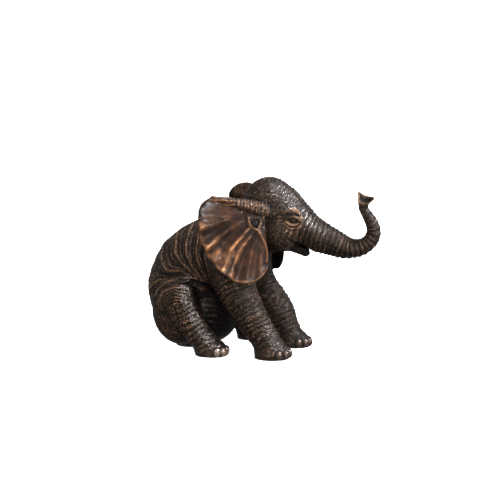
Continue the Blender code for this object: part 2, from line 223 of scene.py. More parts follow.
body = {
    # x, z, half width, half depth
    "torso": ((-30, -6.1, 13, 11), (-33, 8.2, 23, 17.5), (-35, 24.5, 32.5, 26.5), (-36.3, 43.9, 36.5, 31.8),
              (-27.5, 59.2, 36, 31.5), (-12, 70.4, 33, 28.5), (5, 79.2, 27, 24.2), (18, 89.8, 20, 19.5),
              (30, 97.9, 14, 14)),
    # centre and half sizes; the haunches are on both sides
    "haunch": ((-34.5, 21, 28), (22.5, 17, 25.5)),
    "belly": ((-22, 0, 31.6), (25, 27, 30.6)),
    "chest": ((12, 0, 63.2), (15, 19, 20.4)),
    # x, y, z, radius, round the rump to the calf's left
    "tail": ((-59, 3, 46, 3.2), (-63, 4, 35, 2.6), (-60.5, 6, 21, 2.3), (-53, 10, 10, 2.2),
             (-46.5, 17, 5, 2.3), (-42, 25, 4.6, 2.5)),
}


def inPlane(rows, steps):
    # rows of x, z, half width, half depth as rows in the plane y = 0
    line = curveThrough(rows, steps)
    return np.column_stack((line[:, 0], 0 * line[:, 0], line[:, 1:]))


def roundRows(rows, steps):
    line = curveThrough(rows, steps)
    return np.column_stack((line, line[:, 3]))


def mirrored(row):
    # the same place on the calf's right
    return (row[0], -row[1], *row[2:])


def bodyGrids():
    centre, halfSizes = body["haunch"]
    return [carried(inPlane(body["torso"], 6), 48),
            oval(centre, halfSizes), oval(mirrored(centre), halfSizes),
            oval(*body["belly"]), oval(*body["chest"])]


# ---- legs and feet

legs = {
    # x, y, z, radius
    "nearFront": ((2, -20, 71.4, 17), (8, -24, 57.1, 16), (15, -26, 43.5, 13.6), (21.5, -26, 33, 12.2),
                  (27, -26, 24, 11.4), (34, -26, 14.8, 10.4), (38.5, -26, 7.7, 10.6), (40, -26, -3.1, 12.2)),
    "farFront": ((-1, 18, 71.4, 16), (4, 20, 57.1, 15), (10.5, 21, 43.5, 13.2), (18.8, 21, 33, 13.3),
                 (25.5, 21, 24, 12.8), (30.5, 21, 14.8, 10.8), (34.5, 21, 7.7, 10.4), (36.5, 21, -3.1, 12)),
    "nearHind": ((-36, -28, 38.8, 15), (-28, -36, 41.8, 13), (-22, -37, 30.6, 10.8), (-14.5, -37, 17.9, 9.2),
                 (-7.5, -36, 9.2, 9.4), (-2.5, -35, -3.1, 10.8)),
    "farHind": ((-36, 28, 38.8, 15), (-28, 36, 41.8, 13), (-22, 37, 30.6, 10.8), (-14.5, 37, 17.9, 9.2),
                (-7.5, 36, 9.2, 9.4), (-2.5, 35, -3.1, 10.8)),
}
feet = {
    # centre, half sizes, bearings of the nails in degrees from straight ahead
    "nearFront": ((40.9, -26, 3.1), (13.5, 12.2, 9.2), (-46, -17, 13, 44)),
    "farFront": ((38, 21, 3.1), (13.5, 12, 9.2), (-53, -24, 6, 38)),
    "nearHind": ((-2.3, -35.5, 3.1), (12.6, 10.8, 9.2), (-46, -20, 6, 34)),
    "farHind": ((-2.3, 35.5, 3.1), (12.6, 10.8, 9.2), (-34, -6, 20, 46)),
}
nails = {"halfSizes": (1.8, 2.4, 3.1), "height": 3.8, "sink": 0.93, "rim": 1.3}


def nailSpots():
    # centre and bearing of every nail, on the side of its foot
    for centre, halfSizes, bearings in feet.values():
        for bearing in bearings:
            turn = math.radians(bearing)
            out = np.array((math.cos(turn), math.sin(turn), 0))
            spot = np.array(centre) + np.array(halfSizes) * nails["sink"] * out
            yield np.array((spot[0], spot[1], nails["height"])), turn


def turned(grid, centre, angle):
    # the grid turned about the upright through centre
    c, s = math.cos(angle), math.sin(angle)
    return (grid - centre) @ np.array(((c, s, 0), (-s, c, 0), (0, 0, 1))) + centre


def nailGrids():
    return [turned(oval(spot, nails["halfSizes"], 24, 13), spot, turn) for spot, turn in nailSpots()]


# ---- head, in a frame of its own: x ahead of the neck, y to its left, z above the ground

head = {
    "neck": (25, 0, 0), "yaw": 7,
    # x, z, half width, half depth
    "skull": ((-14, 101, 13, 13), (-4, 103, 17.5, 20), (8, 100.7, 18.5, 21.6), (20, 94.5, 16, 16.8),
              (31, 87.6, 13.5, 13.1), (41, 83.2, 12, 11.4), (50, 80.1, 10.2, 9.6)),
    "jaw": ((0, 86.5, 12, 12), (10, 82, 10.5, 10.5), (19, 78.2, 8, 6.3), (26, 73.8, 5.6, 3.8),
            (31.5, 69.8, 3.4, 2.4)),
    "cranium": ((2, 0, 105.6), (20, 19, 20.9)),
    "cheek": ((13, 8, 87.7), (15, 10.5, 13.3)),
    "lids": ((22, 12.8, 97), (6, 5.4, 5.4)),
    "brow": ((22.6, 14.2, 101.2), (6, 2.6, 1.7)),
    # the mouth's hollow: centre, half sizes, how far its front is tipped down
    "mouth": ((29.5, 0, 76.6), (9.5, 14, 2.1), 37),
    "tongue": ((28, 0, 75.3), (4.6, 5.5, 2.4), 37),
}
trunk = {
    # x, z, radius
    "line": ((46, 81.4, 10.4), (50.3, 79.8, 9.8), (57.4, 77.1, 8.6), (63, 76.4, 7.3), (69.5, 77.4, 6.4),
             (75.3, 81.2, 5.8), (78.6, 87.7, 5.4), (76.8, 95.4, 4.9), (71.8, 103, 4), (70.2, 107, 3.6)),
    # the cup at its end: share of the way up, x, half width, half depth
    "cup": ((0, 70.7, 3.4, 3.4), (0.3, 70.6, 3.4, 3.6), (0.65, 71.5, 4.7, 4.7), (1, 72.8, 6.1, 5.7)),
    "cupFoot": 103.5, "cupRim": 112, "cupLip": 1.4, "cupDepth": 5.2,
    # how high the rim stands at each bearing, from ahead round by the calf's right
    "rim": ((0, -0.4), (40, -2.1), (80, -3.2), (115, -3.0), (140, -1.2), (163, 3.0), (180, 5.2), (205, 4.2),
            (240, 2.3), (280, 1.1), (330, 1.0)),
}
headTurn = np.array(Matrix.Rotation(math.radians(head["yaw"]), 3, "Z"))
headMove = np.array(head["neck"], float)


def onHead(grid):
    # from the head's frame to the body's
    return grid @ headTurn.T + headMove


def headFrame(points):
    return (points - headMove) @ headTurn


def trunkRows(steps):
    line = curveThrough(trunk["line"], steps)
    return np.column_stack((line[:, 0], 0 * line[:, 0], line[:, 1], line[:, 2], line[:, 2]))


def cupGrid():
    # up the outside, over the lip and down inside, each point lifted by its share of the rim's height
    turn = np.linspace(0, 2 * np.pi, 44, endpoint=False)[None, :]
    rim = np.interp(np.degrees(turn), *np.array(trunk["rim"]).T, period=360)
    rim = (np.roll(rim, 1) + 2 * rim + np.roll(rim, -1)) / 4
    up, middle, wide, deep = (column[:, None] for column in curveThrough(trunk["cup"], 8).T)
    foot, top, lip = trunk["cupFoot"], trunk["cupRim"], trunk["cupLip"]
    height = foot + up * (top - foot) + rim * up**2.2
    outside = np.stack((middle + wide * np.cos(turn), -deep * np.sin(turn), height), axis=2)
    down = np.array((-0.08, 0, 0.2, 0.4, 0.6, 0.8, 0.95))[:, None]
    narrow = np.where(down < 0, 1, np.sqrt(1 - np.clip(down, 0, 1) ** 2))
    wide, deep = (size[-1] - lip * np.where(down < 0, 0.5, 1) for size in (wide, deep))
    height = top + rim * (1 - np.clip(down, 0, 1)) ** 2 - trunk["cupDepth"] * np.maximum(down, 0)
    height = height + np.where(down < 0, 0.35, 0)
    inside = np.stack((middle[-1] - 0.8 * np.maximum(down, 0) + wide * narrow * np.cos(turn),
                       -deep * narrow * np.sin(turn), height), axis=2)
    return onHead(np.concatenate((outside, inside)))


def headGrids():
    grids = [carried(inPlane(head["skull"], 6)), carried(inPlane(head["jaw"], 6)), carried(trunkRows(6)),
             oval(*head["cranium"])]
    for name in ("cheek", "lids"):
        centre, halfSizes = head[name]
        grids += [oval(centre, halfSizes), oval(mirrored(centre), halfSizes)]
    return [onHead(grid) for grid in grids]


def tipped(centre, halfSizes, tip):
    # an oval tipped nose down, on the head
    lean = np.array(Matrix.Rotation(math.radians(tip), 3, "Y"))
    return onHead(oval((0, 0, 0), halfSizes) @ lean.T + np.array(centre))


def hollowOut(piece, hollow, name):
    cutter = joined([tipped(*hollow)], "cutter")
    outward(cutter.data)
    cut = piece.modifiers.new("cut", "BOOLEAN")
    cut.operation = "DIFFERENCE"
    cut.object = cutter
    piece = settled(piece, name)
    bpy.data.objects.remove(cutter)
    return piece


def outward(mesh):
    work = bmesh.new()
    work.from_mesh(mesh)
    bmesh.ops.recalc_face_normals(work, faces=work.faces)
    work.to_mesh(mesh)
    work.free()


# ---- ears

ears = {
    "near": {"side": -1, "sweep": 38, "lean": 25,
             # the rim as angle in degrees and radius
             "rim": ((22, 44.5), (11, 49.7), (-8, 48), (-40, 46.8), (-72, 49.5), (-86, 49), (-95, 45.5),
                     (-102, 39), (-105, 30)),
             # folds: where each runs as (v, t), its height, its breadth in t, and how far it is rubbed
             "folds": (
                 (((0.35, 0.20), (0.95, 0.19)), 0.7, 0.030, 0.30),
                 (((0.5, 0.252), (0.75, 0.250), (0.98, 0.262)), 1.1, 0.014, 0.75),
                 (((0.35, 0.245), (0.52, 0.262), (0.8, 0.295), (1, 0.30)), -2.0, 0.018, 0),
                 (((0.4, 0.298), (0.54, 0.302), (0.73, 0.319), (0.95, 0.331)), 1.8, 0.018, 0.95),
                 (((0.45, 0.345), (1, 0.357)), -1.5, 0.02, 0),
                 (((0.7, 0.37), (1, 0.372)), 0.8, 0.010, 0.5),
                 (((0.32, 0.383), (0.58, 0.398), (0.7, 0.410), (0.97, 0.443)), 2.2, 0.026, 1.0),
                 (((0.4, 0.422), (0.6, 0.420), (0.9, 0.452)), -1.2, 0.010, 0),
                 (((0.38, 0.450), (0.6, 0.443), (0.95, 0.472)), 1.7, 0.016, 0.9),
                 (((0.3, 0.487), (1, 0.505)), -1.7, 0.026, 0),
                 (((0.42, 0.527), (0.75, 0.560), (1, 0.580)), 0.8, 0.03, 0.35),
                 (((0.4, 0.62), (1, 0.65)), -0.6, 0.04, 0),
                 (((0.5, 0.72), (1, 0.75)), 0.4, 0.05, 0.2)),
             # bumps on the rim: t, height, breadth
             "bumps": ((0.250, 1.3, 0.018), (0.336, 1.4, 0.012), (0.357, -1.1, 0.010), (0.389, 1.5, 0.013),
                       (0.420, -0.7, 0.012), (0.47, 0.6, 0.015))},
    "far": {"side": 1, "sweep": 18, "lean": 12,
            "rim": ((50, 26), (40, 35), (24, 44), (6, 47), (-20, 47), (-50, 46), (-74, 45), (-87, 43.5),
                    (-94, 36), (-98, 28)),
            "folds": (
                (((0.35, 0.16), (0.95, 0.15)), 0.8, 0.035, 0.3),
                (((0.4, 0.22), (1, 0.24)), -1.6, 0.022, 0),
                (((0.4, 0.265), (0.9, 0.29)), 1.7, 0.02, 0.8),
                (((0.45, 0.315), (1, 0.335)), -1.4, 0.022, 0),
                (((0.35, 0.365), (0.7, 0.385), (0.95, 0.41)), 2.0, 0.026, 0.8),
                (((0.3, 0.44), (1, 0.465)), -2.0, 0.026, 0),
                (((0.4, 0.50), (0.95, 0.53)), 1.6, 0.028, 0.7),
                (((0.4, 0.58), (1, 0.61)), -1.0, 0.03, 0),
                (((0.5, 0.69), (1, 0.72)), 0.8, 0.04, 0.4)),
            "bumps": ((0.24, 1.2, 0.016), (0.31, 1.2, 0.013), (0.345, -0.9, 0.011), (0.4, 1.3, 0.015))},
}
earShape = {"root": (4, 19, 99.2), "rootLength": 16, "cup": 5, "wall": 2.5,
            # the rolled upper edge: share of the ear's breadth, radius; it hangs a little low at the head
            "roll": ((-0.16, 4.6), (0, 6.0), (0.25, 6.0), (0.5, 4.7), (0.75, 3.1), (0.95, 1.6)), "rollDrop": 3.2,
            "foldShare": 0.65}


def earAxes(ear):
    # back along the ear, down it, and out of its face, with its root
    sweep, lean, side = math.radians(ear["sweep"]), math.radians(ear["lean"]), ear["side"]
    back = np.array((-math.cos(sweep), side * math.sin(sweep), 0))
    down = np.array((0, side * math.sin(lean), -math.cos(lean)))
    face = unit(np.cross(down, back) * side)
    x, y, z = earShape["root"]
    return back, down, face, np.array((x, side * y, z))


def foldOn(t, v, line, breadth):
    # 1 along the fold's line, falling off across it; it swells up from its inner end
    places, runs = np.array(line).T
    start = places[0]
    return bump(t - np.interp(v, places, runs), breadth * (0.75 + 0.4 * v)) * rise(v, start - 0.18, start + 0.15)


def earLift(ear, t, v):
    # how far the sheet lies behind its plane: a cup, less its folds, with bumps along the rim
    lift = earShape["cup"] * np.sin(np.pi * v / 2) ** 2 * (1 - v * 0.6)
    for line, height, breadth, _ in ear["folds"]:
        lift = lift - earShape["foldShare"] * height * foldOn(t, v, line, breadth)
    for place, height, breadth in ear["bumps"]:
        lift = lift - height * bump(t - place, breadth) * rise(v, 0.82, 0.97)
    return lift


def earSheet(ear, t, v):
    # a point for each share t from the upper edge to the front one and v from the root to the rim:
    # start + (edge - start) v, less the lift along the face
    back, down, face, root = earAxes(ear)
    rim = curveThrough(ear["rim"], 12)
    place = t * (len(rim) - 1)
    angle = np.radians(np.interp(place, np.arange(len(rim)), rim[:, 0]))[..., None]
    radius = np.interp(place, np.arange(len(rim)), rim[:, 1])[..., None]
    start = root + down * earShape["rootLength"] * (t[..., None] - 0.5)
    edge = root + back * radius * np.cos(angle) - down * radius * np.sin(angle)
    return start + (edge - start) * v[..., None] - face * earLift(ear, t, v)[..., None]


def rollRows(ear):
    # the middle of the rolled upper edge, a little behind the face, with its radius twice over
    _, down, face, _ = earAxes(ear)
    run, radius = curveThrough(earShape["roll"], 8).T
    line = earSheet(ear, 0 * run + 0.02, run) - face * radius[:, None] * 0.3
    line = line + down * earShape["rollDrop"] * (1 - run[:, None])
    return np.column_stack((line, radius, radius))


def earGrids(ear):
    # the sheet's front and back carried round as one closed profile, and the roll on its upper edge
    t, v = np.meshgrid(np.linspace(0, 1, 260), np.linspace(0, 1, 70), indexing="ij")
    sheet = earSheet(ear, t, v)
    normal = unit(np.cross(np.gradient(sheet, axis=0), np.gradient(sheet, axis=1)))
    half = 0.5 * earShape["wall"] * (1 - 0.25 * rise(v, 0.5, 1) + 0.5 * rise(v, 0.955, 1) * rise(t, 0.3, 0.5))
    front, rear = sheet + normal * half[..., None], sheet - normal * half[..., None]
    profile = np.concatenate((front, rear[:, ::-1]), axis=1)
    return [onHead(profile), onHead(carried(rollRows(ear)))]


def earPlace(points, ear):
    # where each point is on the ear: t, v and height off its face
    back, down, face, root = earAxes(ear)
    u, w, height = np.linalg.solve(np.column_stack((back, down, face)), (headFrame(points) - root).T)
    rim = curveThrough(ear["rim"], 12)
    place = np.interp(-np.degrees(np.arctan2(-w, u)), -rim[:, 0], np.arange(len(rim)))
    t = place / (len(rim) - 1)
    v = np.hypot(u, w) / np.interp(place, np.arange(len(rim)), rim[:, 1])
    return t, v, height + earLift(ear, t, v), u, w


# ---- the casting's form

legGrids = [carried(roundRows(rows, 5)) for rows in legs.values()]
footGrids = [oval(centre, halfSizes) for centre, halfSizes, _ in feet.values()]
form = oneSkin(joined(bodyGrids() + legGrids + footGrids + headGrids(), "form"), 1.7, 9, "form")
form = hollowOut(form, head["mouth"], "form")
print("body and head formed")

browCentre, browSizes = head["brow"]
small = [onHead(oval(browCentre, browSizes)), onHead(oval(mirrored(browCentre), browSizes)),
         tipped(*head["tongue"]), cupGrid(),
         carried(roundRows(body["tail"], 8), 24)] + nailGrids()
for ear in ears.values():
    small += earGrids(ear)
details = joined(small, "details")
bpy.ops.object.select_all(action="DESELECT")
for piece in (form, details):
    piece.select_set(True)
bpy.context.view_layer.objects.active = details
bpy.ops.object.join()
elephant = oneSkin(bpy.context.view_layer.objects.active, 0.56, 2, "elephantCalf")
print("ears, nails, tail and trunk tip joined:", len(elephant.data.vertices), "points")


# ---- relief

mesh = elephant.data
count = len(mesh.vertices)
points, normals = np.empty(3 * count), np.empty(3 * count)
mesh.vertices.foreach_get("co", points)
mesh.vertices.foreach_get("normal", normals)
points, normals = points.reshape(-1, 3) / mm, normals.reshape(-1, 3)
onFace = headFrame(points)
facing = normals @ headTurn

nearT, nearV, nearHeight, nearU, nearW = earPlace(points, ears["near"])
farT, farV, farHeight, farU, farW = earPlace(points, ears["far"])

# where the shoulder comes through the far ear, it is laid flat on the ear's face
farFace = headTurn @ earAxes(ears["far"])[2]
through = within(farV, 0.32, 0.95, 0.1) * (farT > 0.14) * (farT < 0.99) * (farHeight > 1.25) * (farHeight < 18)
through *= onFace[:, 1] > 12
points -= farFace * (through * (farHeight - 1.25))[:, None]
onFace = headFrame(points)
farHeight = farHeight - through * (farHeight - 1.25)


def earMask(t, v, height, side):
    sheet = within(height, -0.1, 4.5, 0.8) * within(v, 0.22, 1.06, 0.1) * (t > 0.0) * (t < 0.999)
    return sheet * (onFace[:, 1] * side > 15)


onNearEar = earMask(nearT, nearV, nearHeight, -1)
onFarEar = earMask(farT, farV, farHeight, 1)
onEar = np.maximum(onNearEar, onFarEar)


def rollMask(ear):
    # how far along the roll and how far from its middle, in its radii
    return along(onFace, rollRows(ear), 8)


rollWrinkles = {"pitch": 2.3, "depth": 0.5, "slots": 3.2}


def rollRelief(ear, seed):
    # wrinkles across the roll near its root, long slots towards its end
    place, away = rollMask(ear)
    on = 1 - rise(away, 1.1, 1.45)
    wander = 0.7 * drift(onFace, 3.5, seed) + 0.3 * drift(onFace, 1.5, seed + 1)
    across = crests(place / rollWrinkles["pitch"] + wander, 1.0) - 0.6
    slots = crests(nearW / rollWrinkles["slots"] + 0.25 * drift(onFace, 6, seed + 2), 0.8) - 0.6
    part = 1 - rise(place, 26, 34)
    knobs = rise(cracks(onFace * (1, 1, 0.7), 1.9, seed + 3), 0, 0.45) - 0.7
    shape = (across * (0.9 + 0.6 * drift(onFace, 4, seed + 6)) + 0.6 * knobs) * part
    return on, rollWrinkles["depth"] * on * (shape + 2.4 * slots * (1 - part) * (place > 22))


onRoll, relief = rollRelief(ears["near"], 11)
onFarRoll, farRoll = rollRelief(ears["far"], 15)
relief += farRoll
onRoll = np.maximum(onRoll, onFarRoll)
plainSkin = (1 - onEar) * (1 - onRoll)

# the ear's gristle: a ridge down its front edge that forks round a hollow painted dark as shade, in the ear's u and w
gristle = {
    "stem": ((3.6, 10.7, 0.8), (0.4, 15.9, 0.75), (-3.6, 21.6, 0.7), (-5.9, 27.9, 0.7), (-6.4, 34.2, 0.6)),
    "back": ((12.6, 1.0, 0.6), (10.4, 6.2, 0.75), (7, 9.2, 0.8), (3.6, 10.7, 0.8)),
    "front": ((2.7, 4.6, 0.9), (3, 7.6, 0.85), (3.6, 10.7, 0.8)),
    "height": 1.1, "hollow": (6.2, 5.6), "hollowSizes": (3.0, 3.4), "hollowDepth": 3.2,
}


def ridgeOn(flat, rows, breadth):
    # nearness of each flat point to a line, 1 on it
    line = curveThrough(rows, 10)
    away = np.full(len(flat), 99.0)
    near = np.flatnonzero((np.abs(flat) < 50).all(axis=1))
    for x, z, size in line:
        away[near] = np.minimum(away[near], np.hypot(flat[near, 0] - x, flat[near, 1] - z) / (breadth * size))
    return np.exp(-away**2)


def gristleRelief(u, w, height, side):
    flat = np.column_stack((u, w))
    front = within(height, -1.5, 6, 2) * (onFace[:, 1] * side > 14)
    fork = np.maximum.reduce([ridgeOn(flat, gristle[name], 1.1) for name in ("stem", "back", "front")])
    middle, sizes = gristle["hollow"], gristle["hollowSizes"]
    hole = np.exp(-(((u - middle[0]) / sizes[0]) ** 2 + ((w - middle[1]) / sizes[1]) ** 2) ** 1.5)
    return front * (gristle["height"] * fork - gristle["hollowDepth"] * hole * (1 - fork)), front * hole, front * fork


nearGristle, nearHole, nearFork = gristleRelief(nearU, nearW, nearHeight, -1)
farGristle, farHole, farFork = gristleRelief(farU, farW, farHeight, 1)
relief += nearGristle + farGristle
earHole = np.maximum(nearHole, farHole)
print("ears carved")

rings = {"pitch": 3.25, "depth": 0.9, "fine": 0.42, "start": 4, "end": 13, "browDepth": 0.6}


def trunkRings():
    # rings across the trunk that lean back below, uneven and a little wandering, with fine ones between
    stations = [(x, 0, z, depth) for x, z, _, depth in head["skull"][3:6]]
    stations += [(x, 0, z, radius) for x, z, radius in trunk["line"][1:]]
    place, away = along(onFace, curveThrough(stations, 14), 20)
    on = 1 - rise(away, 1.25, 1.5)
    lean = 0.16 * (onFace[:, 2] - 84) * (1 - rise(place, 22, 40))
    wander = 0.24 * drift(onFace, 8, 21) + 0.10 * drift(onFace * (1, 1.4, 1.4), 3.2, 22)
    phase = (place + lean) / rings["pitch"] + wander
    size = 1 - 0.5 * rise(place, 35, 75)
    last = place[away < 1.3].max()
    reach = within(place + lean, rings["start"], last - rings["end"], 7)
    deep = 0.85 + 0.4 * drift(onFace, 5, 23)
    fine = crests(2.6 * phase + 0.5 * drift(onFace, 3, 24), 0.8) - 0.5
    shape = rings["depth"] * (crests(phase, 0.8) - 0.55) * deep + rings["fine"] * fine
    return shape * on * reach * size, on * reach


def browArcs():
    # the trunk's rings run on up the forehead, closer and fainter, and fade to the sides
    reachUp = np.hypot(onFace[:, 0] - 8, onFace[:, 2] - 88)
    turn = np.degrees(np.arctan2(onFace[:, 2] - 88, onFace[:, 0] - 8))
    arc = crests(turn / 4.9 + 0.3 * drift(onFace, 6, 25), 0.8) - 0.5
    middle = 1 - rise(np.abs(onFace[:, 1]), 8, 15)
    return rings["browDepth"] * arc * middle * within(turn, 26, 96, 14) * (reachUp > 12)


def mouthCalm():
    # smooth in the mouth and on the lower lip, which lies under the mouth's own tipped plane; the mouth is painted
    # dark as shade, the lip a little
    centre, halfSizes, tipped = head["mouth"]
    local = (onFace - centre) @ np.array(Matrix.Rotation(math.radians(tipped), 3, "Y"))
    away = [np.linalg.norm(local / (np.array(halfSizes) + more), axis=1) for more in (0.8, 3)]
    lip = (local[:, 2] < 0) * within(onFace[:, 0], 18, 37, 4) * within(onFace[:, 2], 64, 80, 3)
    inside, nearby = 1 - rise(away[0], 0.92, 1.08), 1 - rise(away[1], 0.8, 1.05)
    return inside, np.maximum(nearby, lip)


inMouth, calm = mouthCalm()
corner = ((25, 79.2), (22.4, 81.6), (19.8, 84.2))
ringRelief, onTrunk = trunkRings()
relief += (ringRelief + browArcs()) * (1 - 0.9 * calm)
print("trunk ringed")

eyes = {
    "place": (23.3, 15.2, 96.1), "forward": (0.97, 0.2, 0), "out": (0.2, 0.975, 0.06), "ball": 3.4, "sink": 2.5,
    # lines round the eye, towards the trunk and up from its middle, with their height and breadth
    "strokes": (
        (((-5.4, 0.4), (-2.2, 2.4), (1.3, 3.1), (3.8, 1.9), (4.9, -0.9)), 0.6, 0.80),     # upper lid
        (((-5.6, 1.8), (-2.5, 4.1), (1.2, 5.0), (4.0, 4.1), (5.4, 1.0)), -0.35, 0.60),    # its crease
        (((-7.5, 4.6), (-4.9, 6.6), (-1.7, 7.9), (1.6, 7.8), (4.2, 6.0), (5.7, 2.6), (6.5, -2)), 1.0, 1.3),
        (((-5.2, 0.1), (-2.5, -2.1), (0.3, -2.8), (2.8, -2.5), (4.9, -1.0)), 0.75, 0.65),  # lower lid
        (((-5.8, -1.0), (-2.6, -3.7), (0.5, -4.3), (3.6, -3.7), (5.6, -2.0)), -0.4, 0.50),
        (((-6.3, -1.6), (-3.5, -4.7), (0.2, -5.5), (3.7, -5.0), (5.9, -3.1)), 0.22, 0.60),
        (((-6.8, -3.2), (-3.1, -6.1), (0.5, -6.8), (4.2, -6.1)), -0.25, 0.50),
        (((-7.2, -4.4), (-3.3, -7.5), (0.5, -8.2), (4.4, -7.5)), 0.2, 0.55),
        (((-5.6, 0.6), (-7.8, 1.4), (-10.2, 1.2)), -0.5, 0.45),                           # creases behind it
        (((-5.6, -0.2), (-8.0, -0.8), (-10.6, -2.2)), -0.5, 0.45),
        (((-6.6, 2.6), (-8.8, 4.0), (-11.0, 4.6)), -0.4, 0.50)),
}


def stroke(flat, rows, breadth):
    # 1 on a curve drawn through the rows, falling off to its sides and fading at its ends
    line = curveThrough(rows, 12)
    gap = ((flat[:, None] - line) ** 2).sum(axis=2)
    place = gap.argmin(axis=1) / (len(line) - 1)
    return np.exp(-gap.min(axis=1) / breadth**2) * within(place, 0.05, 0.95, 0.12)


def eyeAxes(side):
    flip = np.array((1, side, 1))
    return np.array(eyes["place"]) * flip, unit(np.array(eyes["forward"]) * (1, -side, 1)), unit(np.array(eyes["out"]) * flip)


def eyeRelief(side):
    # an almond hollow, lids, a brow that comes down in front, bags below, and faint rings round all
    place, forward, out = eyeAxes(side)
    offset = onFace - place
    a, b, depth = offset @ forward, offset[:, 2], offset @ out
    here = (depth > -9) * (1 - rise(np.hypot(a, b), 14, 18)) * (onFace[:, 1] * side > 3)
    hollow = np.exp(-(((a + 0.2) / 4.5) ** 2 + ((b + 0.13 * a + 0.1) / 2.15) ** 2) ** 1.8)
    shape, browed = -2.7 * hollow, np.zeros(count)
    near = np.flatnonzero(here > 0)
    flat = np.column_stack((a, b))[near]
    for k, (rows, height, breadth) in enumerate(eyes["strokes"]):
        mark = stroke(flat, rows, breadth)
        shape[near] += height * mark
        share = bump(flat[:, 0] + 1.1, 2.6) if k == 3 else 0.12 if k in (0, 5) else rise(flat[:, 0], -7, 1) * (1 - 0.6 * rise(flat[:, 0], 1, 5)) if k == 2 else 0
        browed[near] = np.maximum(browed[near], share * mark)
    away = np.hypot(a * 0.9, b)
    ring = crests(away / 1.9 + 0.35 * drift(onFace, 4, 31), 0.8) - 0.5
    shape += 0.24 * ring * within(away, 9, 15, 3) * rise(a, -3, 4)
    temple = here * bump(np.hypot(a + 8.5, (b + 3) * 0.8), 6)
    return shape * here, hollow * here, browed * here, here * (1 - rise(np.hypot(a, b), 6, 9.5)), temple


nearEye, nearHollow, nearBrow, aroundNear, nearTemple = eyeRelief(-1)
farEye, farHollow, farBrow, aroundFar, farTemple = eyeRelief(1)
aroundEyes = np.maximum(aroundNear, aroundFar)
eyeHollow, brow, temple = nearHollow + farHollow, nearBrow + farBrow, nearTemple + farTemple
relief = relief * (1 - 0.75 * aroundEyes) + nearEye + farEye
# the line of the mouth runs on up the cheek
mouthLine = np.zeros(count)
near = np.flatnonzero((np.abs(onFace - (21, 0, 83)) < (9, 30, 8)).all(axis=1) & (np.abs(onFace[:, 1]) > 4))
mouthLine[near] = stroke(onFace[near][:, (0, 2)], corner, 0.8)
relief -= 1.0 * mouthLine
print("eyes carved")

flank = {
    # x and z along each fold of the flank, from the lowest, over the thigh, to the first behind the elbow
    "folds": (
        ((-54, 44), (-46, 50.5), (-30, 53.5), (-22, 52.5), (-17.5, 48.5), (-13.5, 44.5)),
        ((-50, 82), (-45, 69), (-41, 62), (-36, 58.8), (-27, 58.8), (-20, 55.5), (-14.5, 51)),
        ((-38, 90), (-35, 79.5), (-31.5, 71.5), (-25.5, 65), (-21, 60.5), (-14.5, 55.5)),
        ((-26, 90), (-24, 76), (-21, 68.5), (-16.5, 61), (-12.5, 53)),
        ((-16, 86), (-15, 71), (-11.5, 58.5), (-8.5, 48), (-6.5, 36)),
    ),
    "pitch": 7, "height": 1.5, "between": 0.65, "fine": 0.28,
}
thigh = {"hub": (-23.6, 31.3), "pitch": 2.15, "height": 0.55, "crease": 21, "creaseDepth": 2.2}
fromHub = np.hypot(points[:, 0] - thigh["hub"][0], points[:, 2] - thigh["hub"][1])
sideways = rise(np.abs(normals[:, 1]), 0.15, 0.5)


def foldCount():
    # which fold a point lies on: whole numbers on the folds, shares between by distance from each
    flat = points[:, (0, 2)]
    inner = []
    for rows in flank["folds"]:
        line = curveThrough(rows, 8)
        ahead = unit(np.gradient(line, axis=0))
        nearest = np.argmin(((flat[:, None] - line) ** 2).sum(axis=2), axis=1)
        offset = flat - line[nearest]
        side = ahead[nearest, 0] * offset[:, 1] - ahead[nearest, 1] * offset[:, 0]
        inner.append(np.sign(side) * np.linalg.norm(offset, axis=1))
    inner = np.array(inner)
    passed = (inner > 0).sum(axis=0)
    low = np.take_along_axis(inner, np.maximum(passed - 1, 0)[None], axis=0)[0]
    high = -np.take_along_axis(inner, np.minimum(passed, len(inner) - 1)[None], axis=0)[0]
    between = passed + low / (low + high + 1e-9)
    outside = np.where(passed == 0, 1 - high / flank["pitch"], len(inner) + low / flank["pitch"])
    return np.where((passed > 0) & (passed < len(inner)), between, outside)


def flankRelief():
    # a strong fold on every whole number, two lesser ones between and fine ones between those
    fold = foldCount() + 0.07 * drift(points, 6, 41)
    shape = flank["height"] * (crests(fold, 1.5) - 0.35)
    shape += flank["between"] * (crests(3 * fold + 0.25 * drift(points, 7, 42), 1.0) - 0.5)
    shape += flank["fine"] * (crests(9 * fold + 0.5 * drift(points, 3, 43), 0.8) - 0.5)
    where = within(fold, -0.9, 6.2, 0.8) * rise(points[:, 2], 34, 42) * (1 - rise(points[:, 0], -8, 0))
    return shape * where * sideways * rise(fromHub, thigh["crease"] - 1, thigh["crease"] + 3), where * sideways


def thighRelief():
    # arcs round the hub behind the knee, a deep crease over the thigh and a short one at the hub
    x, z = points[:, 0] - thigh["hub"][0], points[:, 2] - thigh["hub"][1]
    turn = np.degrees(np.arctan2(z, -x))  # 0 behind the hub, 90 above it
    arc = crests(fromHub / thigh["pitch"] + 0.3 * drift(points, 5, 45), 0.9) - 0.5
    arcs = thigh["height"] * arc * within(fromHub, 3, 27, 5) * within(turn, -75, 112, 30)
    over = within(turn, 20, 165, 24) * rise(np.abs(points[:, 1]), 17, 22)
    crease = thigh["creaseDepth"] * bump(fromHub - thigh["crease"], 1.7) * over
    lip = 0.7 * bump(fromHub - thigh["crease"] + 3.4, 1.8) * over
    behindKnee = 1.5 * bump(x + 1.2 + 0.16 * z, 0.9) * within(z, -9, 4, 3)
    out = rise(np.abs(points[:, 1]), 20, 26) * sideways
    return arcs * out - crease + lip - behindKnee * out, arcs * 0 + out * within(fromHub, 0, 26, 4)


